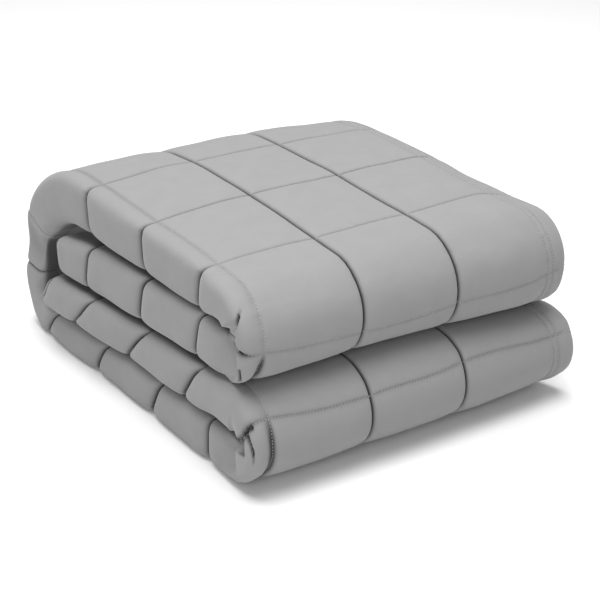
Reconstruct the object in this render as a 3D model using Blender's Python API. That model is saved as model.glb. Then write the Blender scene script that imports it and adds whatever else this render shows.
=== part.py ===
"""Weighted blanket, quilted in squares, folded for a shelf.

The cloth is folded lengthwise into a strip four plies thick, whose left edge is a
rounded double fold. Both ends of the strip are then folded to the middle and the strip
is closed like a book, so four layers of it lie on each other: two bolsters at the front
(-Y) and one spine at the back (+Y). The solid is a loft: the strip's cross section,
swollen between the seams, carried along the folded strip's middle line. Units are
metres, +Z is up, and the origin lies under the middle of the blanket, on the surface
that it rests on.
"""

import math

import bpy
import numpy as np

NAME = "blanket"

# --- Driving dimensions -----------------------------------------------------------------
SQUARE = 0.115          # seam spacing across the strip
FIRST_SEAM = 0.023      # from the left fold to the first lengthwise seam
STRIP_WIDTH = 0.399     # left fold to right fold, where the strip lies flat
FOLD_REACH = 0.024      # how wide the rounding of the left fold is
FOLD_ARC = 0.080        # cloth that wraps the left fold
FOLD_SQUARENESS = 0.47  # 1 is a round left fold, less is a fuller one
LOBE_REACH = 0.014      # how wide the rounding of the right fold is
HEM_SETBACKS = (0.006, 0.011)   # how far the two hems stay behind the right fold
SLIT_DEPTH = 0.040      # open slit between the folded plies at the right
SLIT_SHARE = 0.045      # half the slit's opening, as a share of half the thickness

PUFF_OUTER = 0.0024     # crown of a square on the strip's outer face
PUFF_INNER = 0.0012     # crown of a square on the face turned inwards
PUFF_FOLD = 0.0034      # crown of a square where it wraps the left fold
CROWN_POWER = 3.2       # how flat the middle of a crown is
PULL = 0.0020           # extra pull of the thread right at a seam
PULL_SHARE = 0.08       # half width of that pull, as a share of a square

PRESSED_FLAT = 0.0012   # how much of the lowest crowns the surface presses flat
END_ROUNDING = 0.012    # rounded length of the strip's two ends
END_SQUARENESS = 0.6    # 1 is a round end, less is a blunter one
END_ANGLES = (30, 55, 75)       # mesh lines on that rounding, in degrees
LINE_STEP = 0.001       # sampling of the middle line

FACE_STOPS = (0.0, 0.08, 0.36, 0.64, 0.92)                  # mesh lines in a square
BEND_STOPS = (0.0, 0.08, 0.22, 0.36, 0.50, 0.64, 0.78, 0.92)    # and in one on a bend
INNER_LINES = 8         # mesh lines along the face turned inwards
FOLD_STEPS = 6          # mesh lines round the left fold
LOBE_STEPS = 4          # mesh lines round each lobe at the right

# Middle line of the folded strip, from the hem in layer 2 round to the hem in layer 3.
# Each corner is rounded to its radius. The strip's half thicknesses, its left and right
# edges, and how far the right one is skewed to the front change evenly between them.
FOLD_LINE = (
    # corner                 y        z      radius   outer   inner   left    right   skew
    ("hem in layer 2",       0.168,  0.1340, 0.00000, 0.0290, 0.0205, -0.204, 0.190, 0.0200),
    ("layer 2 sags",         0.060,  0.1405, 0.35000, 0.0305, 0.0285, -0.198, 0.194, 0.0000),
    ("layer 2, front",      -0.150,  0.1510, 0.00000, 0.0318, 0.0275, -0.197, 0.200, 0.0000),
    ("upper bend, below",   -0.2190, 0.1510, 0.02825, 0.0328, 0.0274, -0.201, 0.218, 0.0000),
    ("upper bend, above",   -0.2190, 0.2075, 0.02825, 0.0215, 0.0274, -0.201, 0.218, 0.0000),
    ("layer 1, front",      -0.110,  0.2100, 0.35000, 0.0250, 0.0320, -0.197, 0.198, 0.0000),
    ("top of the spine",     0.2400, 0.2090, 0.12500, 0.0260, 0.0370, -0.196, 0.190, 0.0250),
    ("foot of the spine",    0.2580, 0.0272, 0.02650, 0.0264, 0.0172, -0.197, 0.186, 0.0200),
    ("layer 4, middle",      0.060,  0.0285, 0.50000, 0.0285, 0.0220, -0.193, 0.194, 0.0000),
    ("layer 4, front",      -0.160,  0.0300, 0.00000, 0.0295, 0.0275, -0.192, 0.212, 0.0000),
    ("lower bend, below",   -0.2320, 0.0300, 0.02875, 0.0220, 0.0279, -0.199, 0.234, 0.0000),
    ("lower bend, above",   -0.2320, 0.0875, 0.02875, 0.0335, 0.0279, -0.202, 0.228, 0.0000),
    ("layer 3, front",      -0.150,  0.0875, 0.00000, 0.0270, 0.0278, -0.196, 0.204, 0.0000),
    ("layer 3 sags",         0.000,  0.0825, 0.40000, 0.0250, 0.0275, -0.198, 0.194, 0.0000),
    ("hem in layer 3",       0.206,  0.0705, 0.00000, 0.0270, 0.0170, -0.210, 0.190, 0.0180),
)

# Crosswise seams and both hems: their places along the middle line, where they meet the
# four lengthwise seams of the strip's outer face, and on its inner face.
CROSS_SEAMS = (
    # seam                  left    first   second  right   inner
    ("hem in layer 2",      0.006,  0.006,  0.006,  0.006,  0.006),
    ("layer 2, back",       0.061,  0.067,  0.073,  0.079,  0.075),
    ("layer 2, middle",     0.184,  0.191,  0.198,  0.205,  0.200),
    ("layer 2, front",      0.300,  0.305,  0.309,  0.314,  0.318),
    ("upper bolster",       0.398,  0.391,  0.393,  0.397,  0.392),
    ("layer 1, front",      0.488,  0.485,  0.482,  0.484,  0.496),
    ("layer 1, middle",     0.612,  0.610,  0.608,  0.606,  0.610),
    ("layer 1, back",       0.739,  0.734,  0.730,  0.725,  0.734),
    ("spine, top",          0.899,  0.897,  0.896,  0.894,  0.894),
    ("spine, middle",       0.967,  0.971,  0.974,  0.978,  0.967),
    ("layer 4, back",       1.041,  1.046,  1.050,  1.055,  1.077),
    ("layer 4, second",     1.161,  1.163,  1.165,  1.167,  1.193),
    ("layer 4, third",      1.286,  1.288,  1.291,  1.293,  1.313),
    ("layer 4, front",      1.414,  1.418,  1.421,  1.425,  1.417),
    ("lower bolster",       1.531,  1.526,  1.529,  1.528,  1.514),
    ("layer 3, front",      1.619,  1.617,  1.615,  1.613,  1.657),
    ("layer 3, middle",     1.733,  1.731,  1.729,  1.727,  1.783),
    ("layer 3, back",       1.846,  1.846,  1.845,  1.845,  1.895),
    ("hem in layer 3",      1.940,  1.942,  1.944,  1.945,  1.969),
)

# The top layer bulges: its height at a row, the shares of the width over which it rises
# from the left edge and falls towards the right, and the share where it has gone.
DOME = (
    # row   height
    (4.3,   0.0000),
    (5.0,   0.0030),
    (6.0,   0.0080),
    (7.0,   0.0085),
    (7.3,   0.0050),
    (7.6,   0.0000),
)
DOME_EDGES = (0.30, 0.12)
DOME_GONE = 1.02

# Broad dents of the outer face, each round a line on the cloth: depth, and the distance
# from the line over which it fades.
DENTS = (
    # dent (swelling if < 0)     row    squares  row    squares  depth   width
    ("spine, upper square",      8.42, -0.50,    8.60, -0.44,    0.0150, 0.0330),
    ("spine, lower square",      9.35, -0.40,    9.45, -0.30,    0.0050, 0.0300),
    ("upper roll's shoulder",    4.70,  3.34,    5.50,  3.40,    0.0088, 0.0480),
    ("upper roll's corner",      4.36,  3.40,    4.66,  3.42,    0.0110, 0.0400),
    ("back corner",              7.50,  2.90,    7.60,  3.20,    0.0050, 0.0500),
    ("upper roll hangs",         3.30,  3.20,    3.90,  3.20,   -0.0080, 0.1200),
    ("lower roll gives way",     14.50, 3.20,    15.50, 3.20,    0.0090, 0.1100),
)

# Squares on the strip's bends, which get more mesh lines.
BEND_SEAMS = ("layer 2, front", "upper bolster", "layer 1, back", "layer 4, front",
              "lower bolster")


# --- The folded strip's middle line ------------------------------------------------------
def middle_line():
    """Samples along the middle line: distance, y, z, heading, and the section's sizes."""
    corner = np.array([row[1:3] for row in FOLD_LINE])
    radius = np.array([row[3] for row in FOLD_LINE])
    sizes = np.array([row[4:] for row in FOLD_LINE])
    run = np.diff(corner, axis=0)
    heading = np.unwrap(np.arctan2(run[:, 1], run[:, 0]))
    turn = np.zeros(len(corner))
    turn[1:-1] = np.abs(np.diff(heading))
    trim = radius * np.tan(turn / 2)
    straight = np.linalg.norm(run, axis=1) - trim[:-1] - trim[1:]
    ends = [0.0]
    for length, arc in zip(straight, (radius * turn)[1:]):
        ends += [ends[-1] + length, ends[-1] + length + arc]
    ends = np.array(ends)
    distance = np.arange(0.0, ends[-1] + LINE_STEP, LINE_STEP)
    angle = np.interp(distance, ends, np.repeat(heading, 2).tolist() + [heading[-1]])
    step = LINE_STEP * np.stack([np.cos(angle), np.sin(angle)], 1)
    place = corner[0] + np.concatenate([[[0, 0]], np.cumsum((step[1:] + step[:-1]) / 2, axis=0)])
    corner_at = np.concatenate([[0.0], (ends[1:-1:2] + ends[2::2]) / 2])
    size = [np.interp(distance, corner_at, sizes[:, k]) for k in range(sizes.shape[1])]
    return distance, np.column_stack([place, angle] + size)


# --- The strip's cross section -----------------------------------------------------------
def rounded(angle):
    """Cosine and sine of an angle in degrees, made fuller for the left fold."""
    c, s = math.cos(math.radians(angle)), math.sin(math.radians(angle))
    return (math.copysign(abs(c) ** FOLD_SQUARENESS, c),
            math.copysign(abs(s) ** FOLD_SQUARENESS, s), c, s)


def cross_section():
    """The section's loop, one row a point: share of the width, offset across, level as
    a share of the half thickness, direction of swelling (across, out), squares passed
    since the first lengthwise seam, share of the outer face, and size of the crown."""
    rows = []

    def face_point(x, squares):
        rows.append((x / STRIP_WIDTH, 0.0, 1.0, 0.0, 1.0, squares, 1.0, PUFF_OUTER))

    lobe_start = STRIP_WIDTH - LOBE_REACH
    squares_to_lobe = (lobe_start - FIRST_SEAM) / SQUARE
    for squares in (i + stop for i in range(3) for stop in FACE_STOPS):
        face_point(FIRST_SEAM + squares * SQUARE, squares)
    face_point(FIRST_SEAM + 3 * SQUARE, 3.0)

    # Right edge: a lobe for the fold, and one for each hem, with slits between them.
    lobes = ((0.0, 1.0, 0.0), (HEM_SETBACKS[0], 0.0, -0.5), (HEM_SETBACKS[1], -0.5, -1.0))
    for number, (setback, top, bottom) in enumerate(lobes):
        middle, half = (top + bottom) / 2, (top - bottom) / 2
        for k in range(LOBE_STEPS + 1):
            angle = math.radians(90 - 180 * k / LOBE_STEPS)
            level = middle + (half - SLIT_SHARE) * math.sin(angle)
            if (number, k) == (0, 0):
                level = 1.0
            if (number, k) == (2, LOBE_STEPS):
                level = -1.0
            reach = LOBE_REACH * (1 - math.cos(angle)) * (1.0 if number == 0 else 0.6)
            squares = squares_to_lobe + 0.4 * k / LOBE_STEPS if number == 0 else 3.5
            size = PUFF_OUTER * (1 + math.sin(angle)) / 2 if number == 0 else 0.0
            rows.append((1.0, -setback - reach, level, math.cos(angle), math.sin(angle),
                         squares, (level + 1) / 2, size))
        if number < 2:
            for level in (bottom + SLIT_SHARE, bottom - SLIT_SHARE):
                rows.append((1.0, -setback - SLIT_DEPTH / (1 + number), level, 0.0, 0.0,
                             3.5, (level + 1) / 2, 0.0))

    # Inner face, right to left, then up round the left fold.
    start = STRIP_WIDTH - SLIT_DEPTH
    for k in range(INNER_LINES):
        x = start + (FOLD_REACH - start) * k / INNER_LINES
        squares = -(FOLD_ARC + x - FOLD_REACH) / SQUARE
        rows.append((x / STRIP_WIDTH, 0.0, -1.0, 0.0, -1.0, squares, 0.0, PUFF_INNER))
    for k in range(FOLD_STEPS):
        angle = 270 - 180 * k / FOLD_STEPS
        across, out, c, s = rounded(angle)
        squares = -FOLD_ARC / SQUARE * (angle - 90) / 180
        size = PUFF_FOLD + (PUFF_INNER - PUFF_FOLD) * max(0.0, -s) ** 2
        rows.append((0.0, FOLD_REACH * (1 + across), out, c, s, squares, (out + 1) / 2, size))
    return np.array(rows).T


# --- The quilted, folded surface ---------------------------------------------------------
def crown(share):
    """Height of a square's crown at a share of its width: 0 at the seams, 1 mid-way."""
    return 1 - np.abs(2 * share - 1) ** CROWN_POWER


def pull(share):
    """How hard the thread pulls in at a share of a square's width."""
    return np.clip(1 - np.minimum(share, 1 - share) / PULL_SHARE, 0, 1)


def smooth_step(t):
    """0 below 0, 1 above 1, and an S curve between."""
    t = np.clip(t, 0.0, 1.0)
    return t * t * (3 - 2 * t)


def dome(row, share):
    """Height of the top's bulge at these rows and shares of the width."""
    rows, heights = np.array(DOME).T
    rise = smooth_step(share / DOME_EDGES[0]) * smooth_step((DOME_GONE - share) / DOME_EDGES[1])
    return np.interp(row, rows, heights) * rise


def dents(row, squares, row_side):
    """Depth of the dents: for each, a bell curve of the distance to its line."""
    depth = np.zeros(np.broadcast(row, squares).shape)
    for _, row_a, squares_a, row_b, squares_b, deep, width in DENTS:
        run_row, run_squares = (row_b - row_a) * row_side, (squares_b - squares_a) * SQUARE
        from_row, from_squares = (row - row_a) * row_side, (squares - squares_a) * SQUARE
        t = (from_row * run_row + from_squares * run_squares) / (run_row**2 + run_squares**2)
        t = np.clip(t, 0.0, 1.0)
        distance = np.hypot(from_row - t * run_row, from_squares - t * run_squares)
        depth += deep * np.exp(-((distance / width) ** 2))
    return depth


def surface(row, end_angle=0.0):
    """Loops of points of the strip at these rows: 0 at the first hem, 1 a seam on.
    At a hem, end_angle in degrees rounds the end off."""
    distance, line = middle_line()
    share, offset, level, swell_x, swell_out, around, outside, size = cross_section()
    seam_rows = np.arange(len(CROSS_SEAMS))
    shrink = math.cos(math.radians(end_angle)) ** END_SQUARENESS
    outside = 0.5 + (outside - 0.5) * shrink
    across_squares = np.clip((share * STRIP_WIDTH - FIRST_SEAM) / SQUARE, 0, 3)
    weights = [outside * np.maximum(0, 1 - np.abs(across_squares - k)) for k in range(4)]
    along = np.zeros((len(row), len(around)))
    for column, weight in enumerate(weights + [1 - outside], start=1):
        places = [seam[column] for seam in CROSS_SEAMS]
        along += np.interp(row, seam_rows, places)[:, None] * weight
    facing = np.where(row < 0.5 * len(CROSS_SEAMS), -1.0, 1.0)[:, None]
    along += facing * END_ROUNDING * math.sin(math.radians(end_angle)) ** END_SQUARENESS

    inside = np.clip(along, 0.0, distance[-1])
    y, z, angle, outer, inner, left, right, skew = (
        np.interp(inside, distance, line[:, k]) for k in range(line.shape[1]))
    y += (along - inside) * np.cos(angle) - skew * share
    z += (along - inside) * np.sin(angle)

    fv, fx = np.broadcast_arrays((row % 1.0)[:, None], around % 1.0)
    thread = PULL * np.minimum(size / PUFF_INNER, 1.0)
    swell = size * crown(fv) * crown(fx) - thread * np.maximum(pull(fv), pull(fx))
    dent = dents(row[:, None], around, distance[-1] / seam_rows[-1])
    half = np.where(level > 0, outer - PUFF_OUTER, inner - PUFF_INNER)
    press = np.where(share < 1, swell_out, np.maximum(swell_out, 0) * (level > 0))
    out = shrink * (level * half + swell * swell_out - dent * press
                    + dome(row[:, None], share) * outside)
    x = left + share * (right - left) + offset + (swell - dent * (share < 1)) * swell_x
    return np.stack([x, y - out * np.sin(angle), z + out * np.cos(angle)], axis=-1)


def mesh_rows():
    """Rows of the mesh lines: more to a square where the strip bends."""
    rows = []
    for number, seam in enumerate(CROSS_SEAMS[:-1]):
        stops = BEND_STOPS if seam[0] in BEND_SEAMS else FACE_STOPS
        rows += [number + stop for stop in stops]
    return np.array(rows + [len(CROSS_SEAMS) - 1.0])


def build_blanket():
    """Loft the section along its rows, close both ends, and set it on the surface."""
    rows = mesh_rows()
    first = [surface(rows[:1], angle) for angle in END_ANGLES[::-1]]
    last = [surface(rows[-1:], angle) for angle in END_ANGLES]
    loops = np.concatenate(first + [surface(rows)] + last)
    floor = loops[..., 2].min() + PRESSED_FLAT
    loops[..., 2] = np.maximum(loops[..., 2] - floor, 0.0)
    low, high = loops.min(axis=(0, 1)), loops.max(axis=(0, 1))
    loops[..., :2] -= (low + high)[:2] / 2

    count, around = loops.shape[:2]
    index = np.arange(count * around).reshape(count, around)
    beside = np.roll(index, -1, axis=1)
    quads = np.stack([index[:-1], beside[:-1], beside[1:], index[1:]], axis=-1).reshape(-1, 4)
    faces = quads.tolist() + [index[0, ::-1].tolist(), index[-1].tolist()]
    mesh = bpy.data.meshes.new(NAME)
    mesh.from_pydata(loops.reshape(-1, 3).tolist(), [], faces)
    mesh.validate()
    mesh.shade_smooth()
    mesh.set_sharp_from_angle(angle=math.radians(50))
    return mesh


def cloth_material():
    """Smooth matt grey microfibre."""
    material = bpy.data.materials.new("grey_microfibre")
    material.use_nodes = True
    shader = material.node_tree.nodes["Principled BSDF"]
    shader.inputs["Base Color"].default_value = (0.36, 0.36, 0.36, 1.0)
    shader.inputs["Roughness"].default_value = 0.9
    shader.inputs["Metallic"].default_value = 0.0
    return material


def main():
    for old in list(bpy.data.objects):
        bpy.data.objects.remove(old, do_unlink=True)
    parts = bpy.data.collections.new("weighted_blanket")
    bpy.context.scene.collection.children.link(parts)
    blanket = bpy.data.objects.new(NAME, build_blanket())
    blanket.data.materials.append(cloth_material())
    parts.objects.link(blanket)


main()
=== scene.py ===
# %% [markdown]
# # A weighted blanket, quilted in squares and folded for the shelf
#
# The real blanket is two faces of smooth grey microfibre, sewn together in squares that
# hold beads and a thin fibre fill. It is folded lengthwise into a strip four plies thick,
# both ends go to the middle, and the strip closes like a book. That leaves a stack with
# two rolls at the front and one spine at the back.
#
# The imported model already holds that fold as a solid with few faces. This lesson makes
# the surface that you see: the same fold, with a fine grid, sharp sewn seams, puckers,
# thread and a brushed cloth finish. We start by loading the model, which fixes the size.

import math

import bpy
import numpy as np
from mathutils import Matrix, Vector


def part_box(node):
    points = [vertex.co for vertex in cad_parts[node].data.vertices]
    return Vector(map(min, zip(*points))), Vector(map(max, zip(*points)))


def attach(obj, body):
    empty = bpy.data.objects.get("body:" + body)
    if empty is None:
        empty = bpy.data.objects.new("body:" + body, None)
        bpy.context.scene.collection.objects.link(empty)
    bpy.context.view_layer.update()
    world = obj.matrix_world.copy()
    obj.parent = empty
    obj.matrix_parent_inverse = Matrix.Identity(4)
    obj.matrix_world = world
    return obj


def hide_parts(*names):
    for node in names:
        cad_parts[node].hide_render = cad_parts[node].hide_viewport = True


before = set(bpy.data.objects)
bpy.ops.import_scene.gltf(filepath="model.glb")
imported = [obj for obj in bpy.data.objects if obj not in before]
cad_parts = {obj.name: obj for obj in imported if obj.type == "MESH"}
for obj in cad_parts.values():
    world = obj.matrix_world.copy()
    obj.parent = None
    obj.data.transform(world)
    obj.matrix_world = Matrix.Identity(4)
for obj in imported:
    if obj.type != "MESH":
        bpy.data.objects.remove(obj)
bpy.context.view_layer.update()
BODY, NODE, SLOT = "root", "blanket", "blanket"
LOW, HIGH = (np.array(corner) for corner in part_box(NODE))
print("blanket on the shelf, metres:", (HIGH - LOW).round(3))

# %% [markdown]
# ## The camera comes first
#
# The photograph was taken from the front left, a little above, with a long lens, so the
# sewn grid shows hardly any perspective. Putting the camera in first means that every
# later test render can be laid beside the photograph. The focal length is given as the
# photograph's own: how many pixels wide one unit is at one unit's distance.

# %% Camera
IMAGE_SIDE = 600            # pixels
FOCAL_PIXELS = 1866.0
SENSOR = 36.0               # mm
AZIMUTH, ELEVATION = 33.504, 25.329     # degrees: round to the left, and up
CAMERA_AT = (-1.07474, -1.65383, 1.01012)


def add_camera():
    """A camera at the photograph's place, turned by its azimuth and elevation."""
    camera = bpy.data.objects.new("photo_camera", bpy.data.cameras.new("photo_camera"))
    camera.data.sensor_width = SENSOR
    camera.data.lens = FOCAL_PIXELS / IMAGE_SIDE * SENSOR
    camera.location = CAMERA_AT
    camera.rotation_euler = [math.radians(a) for a in (90 - ELEVATION, 0, -AZIMUTH)]
    bpy.context.scene.collection.objects.link(camera)
    bpy.context.scene.camera = camera
    return camera


camera = add_camera()
print("lens in mm:", round(camera.data.lens, 1))

# %% [markdown]
# ## Sizes of the sewing and of the fold
#
# A quilt is a grid of seams with filling between them, so nearly everything follows from
# one number: the side of a square. The rest says how wide the folded strip is, how its
# edges round off, and how far the filling makes a square swell.

# %% Driving sizes
SQUARE = 0.115              # seam spacing across the strip
FIRST_SEAM = 0.023          # from the left fold to the first lengthwise seam
STRIP_WIDTH = 0.399         # left fold to right fold
FOLD_REACH = 0.024          # how wide the rounding of the left fold is
FOLD_ARC = 0.080            # cloth that wraps the left fold
FOLD_SQUARENESS = 0.47      # 1 is a round left fold, less is a fuller one
LOBE_REACH = 0.014          # rounding of the right fold
HEM_LOBE = 0.6              # rounding of the two hems, as a share of the right fold's
HEM_SETBACKS = (0.006, 0.011)   # the two hems stay behind the right fold
SLIT_DEPTH = 0.040          # open slit between plies at the right
SLIT_SHARE = 0.045          # half the slit's opening, as a share of half the thickness
END_ROUNDING = 0.012        # rounded length of the strip's two ends
END_SQUARENESS = 0.6        # 1 is a round end, less is a blunter one

PUFF_OUTER = 0.0024         # crown of a square on the outer face
PUFF_INNER = 0.0012         # on the face turned inwards
PUFF_FOLD = 0.0034          # where a square wraps the left fold
print("cloth across one ply, squares:", round(STRIP_WIDTH / SQUARE, 2))

# %% [markdown]
# ## The line that the folded strip follows
#
# Seen from its right side the strip is a line that goes from the hem in layer 2, round
# the upper roll, back over the top, down the spine, forward along the bottom, round the
# lower roll and back to the hem in layer 3. A table of corners, each rounded to its
# radius, is the clearest way to say that. The same table gives the thickness on either
# side of the line and the places of the strip's two edges.

# %% Table of the fold
FOLD_LINE = (
    # corner                 y        z      radius   outer   inner   left    right   skew
    ("hem in layer 2",       0.168,  0.1340, 0.00000, 0.0290, 0.0205, -0.204, 0.190, 0.0200),
    ("layer 2 sags",         0.060,  0.1405, 0.35000, 0.0305, 0.0285, -0.198, 0.194, 0.0000),
    ("layer 2, front",      -0.150,  0.1510, 0.00000, 0.0318, 0.0275, -0.197, 0.200, 0.0000),
    ("upper bend, below",   -0.2190, 0.1510, 0.02825, 0.0318, 0.0264, -0.201, 0.218, 0.0000),
    ("upper bend, above",   -0.2190, 0.2075, 0.02825, 0.0215, 0.0264, -0.201, 0.218, 0.0000),
    ("layer 1, front",      -0.110,  0.2100, 0.35000, 0.0250, 0.0320, -0.197, 0.198, 0.0000),
    ("top of the spine",     0.2400, 0.2090, 0.12500, 0.0260, 0.0370, -0.196, 0.190, 0.0250),
    ("foot of the spine",    0.2580, 0.0272, 0.02650, 0.0264, 0.0172, -0.197, 0.186, 0.0200),
    ("layer 4, middle",      0.060,  0.0285, 0.50000, 0.0285, 0.0220, -0.193, 0.194, 0.0000),
    ("layer 4, front",      -0.160,  0.0300, 0.00000, 0.0295, 0.0275, -0.192, 0.212, 0.0000),
    ("lower bend, below",   -0.2320, 0.0300, 0.02875, 0.0220, 0.0267, -0.199, 0.234, 0.0000),
    ("lower bend, above",   -0.2320, 0.0875, 0.02875, 0.0335, 0.0267, -0.202, 0.228, 0.0000),
    ("layer 3, front",      -0.150,  0.0875, 0.00000, 0.0270, 0.0278, -0.196, 0.204, 0.0000),
    ("layer 3 sags",         0.000,  0.0825, 0.40000, 0.0250, 0.0275, -0.198, 0.194, 0.0000),
    ("hem in layer 3",       0.206,  0.0705, 0.00000, 0.0270, 0.0170, -0.210, 0.190, 0.0180),
)
LINE_ORIGIN = (-0.0120, -0.0098)    # the table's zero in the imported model's x and y
print("corners from hem to hem:", len(FOLD_LINE))

# %% [markdown]
# Blender could round the corners with a bevelled curve, but the rest of the lesson needs
# the line as numbers. So we walk along it in steps of a millimetre: straight stretches and
# arcs take turns, the heading is known at every step, and adding up the steps gives the
# places.

# %% The middle line
LINE_STEP = 0.001           # sampling of the line


def middle_line():
    """Distance along the line, and a column each for y, z, heading, both half thicknesses,
    both edges and the skew. The heading turns evenly through each rounded corner; the
    place is the running sum of the heading's cosine and sine."""
    corner = np.array([row[1:3] for row in FOLD_LINE])
    radius = np.array([row[3] for row in FOLD_LINE])
    sizes = np.array([row[4:] for row in FOLD_LINE])
    run = np.diff(corner, axis=0)
    heading = np.unwrap(np.arctan2(run[:, 1], run[:, 0]))
    turn = np.zeros(len(corner))
    turn[1:-1] = np.abs(np.diff(heading))
    trim = radius * np.tan(turn / 2)
    straight = np.linalg.norm(run, axis=1) - trim[:-1] - trim[1:]
    pieces = np.column_stack([straight, (radius * turn)[1:]]).ravel()
    ends = np.concatenate([[0.0], np.cumsum(pieces)])
    distance = np.arange(0.0, ends[-1] + LINE_STEP, LINE_STEP)
    angle = np.interp(distance, ends, np.append(np.repeat(heading, 2), heading[-1]))
    step = LINE_STEP * np.stack([np.cos(angle), np.sin(angle)], 1)
    walked = np.cumsum((step[1:] + step[:-1]) / 2, axis=0)
    place = corner[0] + np.concatenate([[[0, 0]], walked])
    corner_at = np.concatenate([[0.0], (ends[1:-1:2] + ends[2::2]) / 2])
    size = [np.interp(distance, corner_at, column) for column in sizes.T]
    return distance, np.column_stack([place, angle] + size)


LINE_AT, LINE = middle_line()
print("strip's length in metres:", round(LINE_AT[-1], 3))

# %% [markdown]
# ## The seams
#
# Crosswise seams are not quite square to the strip, as in any folded quilt, so each has
# its own place at the left edge, at the right edge and on the face turned inwards. The
# last two columns say how hard the seam bites, from 0 to 1: on the open face, where the
# filling has settled and the seams lie shallow, and on the left fold, where the cloth is
# bent over the seam and closes it to a dark line.

# %% Table of the seams
CROSS_SEAMS = (
    # seam                  left    first   second  right   inner   face  fold
    ("hem in layer 2",       0.006,  0.006,  0.006,  0.006,  0.006,  0.6,  0.6),
    ("layer 2, back",        0.061,  0.067,  0.073,  0.079,  0.075,  0.6,  0.9),
    ("layer 2, middle",      0.184,  0.191,  0.198,  0.205,  0.200,  0.6,  1.0),
    ("layer 2, front",       0.300,  0.305,  0.309,  0.314,  0.318,  0.5,  1.0),
    ("upper bolster",        0.398,  0.391,  0.393,  0.397,  0.392,  0.2,  0.8),
    ("layer 1, front",       0.488,  0.485,  0.482,  0.484,  0.496,  0.3,  1.0),
    ("layer 1, middle",      0.612,  0.610,  0.608,  0.606,  0.610,  0.4,  1.0),
    ("layer 1, back",        0.739,  0.734,  0.730,  0.725,  0.734,  0.4,  0.8),
    ("spine, top",           0.899,  0.897,  0.896,  0.894,  0.894,  0.5,  0.15),
    ("spine, middle",        0.967,  0.971,  0.974,  0.978,  0.967,  0.5,  0.5),
    ("layer 4, back",        1.041,  1.046,  1.050,  1.055,  1.077,  0.6,  0.8),
    ("layer 4, second",      1.161,  1.163,  1.165,  1.167,  1.193,  0.6,  0.9),
    ("layer 4, third",       1.286,  1.288,  1.291,  1.293,  1.313,  0.6,  1.0),
    ("layer 4, front",       1.414,  1.418,  1.421,  1.425,  1.417,  0.5,  0.9),
    ("lower bolster",        1.531,  1.526,  1.529,  1.528,  1.514,  0.3,  0.5),
    ("layer 3, front",       1.619,  1.617,  1.615,  1.613,  1.657,  0.5,  1.0),
    ("layer 3, middle",      1.733,  1.731,  1.729,  1.727,  1.783,  0.6,  1.0),
    ("layer 3, back",        1.846,  1.846,  1.845,  1.845,  1.895,  0.6,  0.9),
    ("hem in layer 3",       1.940,  1.942,  1.944,  1.945,  1.969,  0.6,  0.6),
)
LAST_ROW = len(CROSS_SEAMS) - 1
print(len(CROSS_SEAMS) - 2, "crosswise seams and two hems")

# %% [markdown]
# Lengthwise there are four seams on the outer face. The first lies beside the left fold
# and only bites where the cloth is bent under, so its bite changes from row to row. The
# others keep one bite each. A row of plain stitches follows the right edge as well.

# %% Bites of the lengthwise seams
OUTER_BITES = (1.0, 1.0, 0.25)      # of the second, third and fourth seam
FIRST_SEAM_BITE = (
    # row   bite
    (0.0,   0.30),
    (3.5,   0.90),
    (3.9,   0.90),
    (4.0,   0.15),
    (6.5,   0.25),
    (13.0,  0.50),
    (13.5,  0.90),
    (13.9,  0.80),
    (14.05, 0.15),
    (18.0,  0.30),
)
INNER_BITE = 0.5            # of every lengthwise seam on the face turned inwards
EDGE_STITCH = 3.065         # line of stitches beside the right edge, in squares
print("lengthwise seams on the outer face:", 1 + len(OUTER_BITES))

# %% [markdown]
# ## The strip's cross section
#
# Cut across, the strip is a closed loop: the outer face with its three squares, a rounded
# lobe where it folds at the right, a lobe for each hem with open slits between them, the
# face turned inwards, and the full left fold. It is built as stretches, each a small
# array with the same columns, and the points crowd together at the seams because that is
# where the surface bends.

# %% Helpers for the section
# share of the width, metres to the right of that, height from -1 to 1, the two parts of
# the direction outwards, squares from the first seam, crown of a square, bite of its seams
SECTION_COLUMNS = ("share", "offset", "level", "across", "out", "squares", "crown", "bite")
EVEN_SHARE = 0.12           # how much of the spacing between two seams is even
SQUARE_LINES = 22           # mesh lines in a square of the outer face


def crowded(count):
    """Shares from 0 up to, not including, 1, with small steps next to 0 and 1: the share
    moves as a blend of an even step and an S curve."""
    t = np.arange(count) / count
    s_curve = t**3 * (10 - 15 * t + 6 * t * t)
    return EVEN_SHARE * t + (1 - EVEN_SHARE) * s_curve


def stretch(count, **columns):
    """One stretch of the section: count points, and a value or an array for each column."""
    return np.column_stack([np.broadcast_to(columns.get(name, 0.0), count)
                            for name in SECTION_COLUMNS])


print("steps beside a seam, share of a square:", np.diff(crowded(SQUARE_LINES))[:3].round(3))

# %% [markdown]
# On the right the strip shows its folded edge and, below that, the two hems, all free to
# part a little. Half ellipses in a pile draw that: each has its own share of the
# thickness, and between two of them the loop runs into the cloth and out again as a slit.

# %% Outer face and right edge
MARGIN_LINES = (3.0, 3.008, 3.02, 3.045, EDGE_STITCH, 3.085, 3.11)     # squares
EDGE_SQUARES = 3.5          # the right edge, in squares
EDGE_ARC = 0.35             # squares of cloth on the right fold
EDGE_LINES = 8              # steps round each lobe
# how far each lobe stays behind the fold, and the levels of its top and bottom
LOBES = ((0.0, 1.0, 0.0), (HEM_SETBACKS[0], 0.0, -0.5), (HEM_SETBACKS[1], -0.5, -1.0))


def outer_face(lines):
    """Three squares, then flat to the start of the right fold: x is the first seam's place
    plus the number of squares times their side."""
    squares = np.concatenate([i + crowded(lines) for i in range(3)] + [MARGIN_LINES])
    x = FIRST_SEAM + squares * SQUARE
    return stretch(len(x), share=x / STRIP_WIDTH, level=1.0, out=1.0, squares=squares,
                   crown=PUFF_OUTER, bite=1.0)


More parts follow.
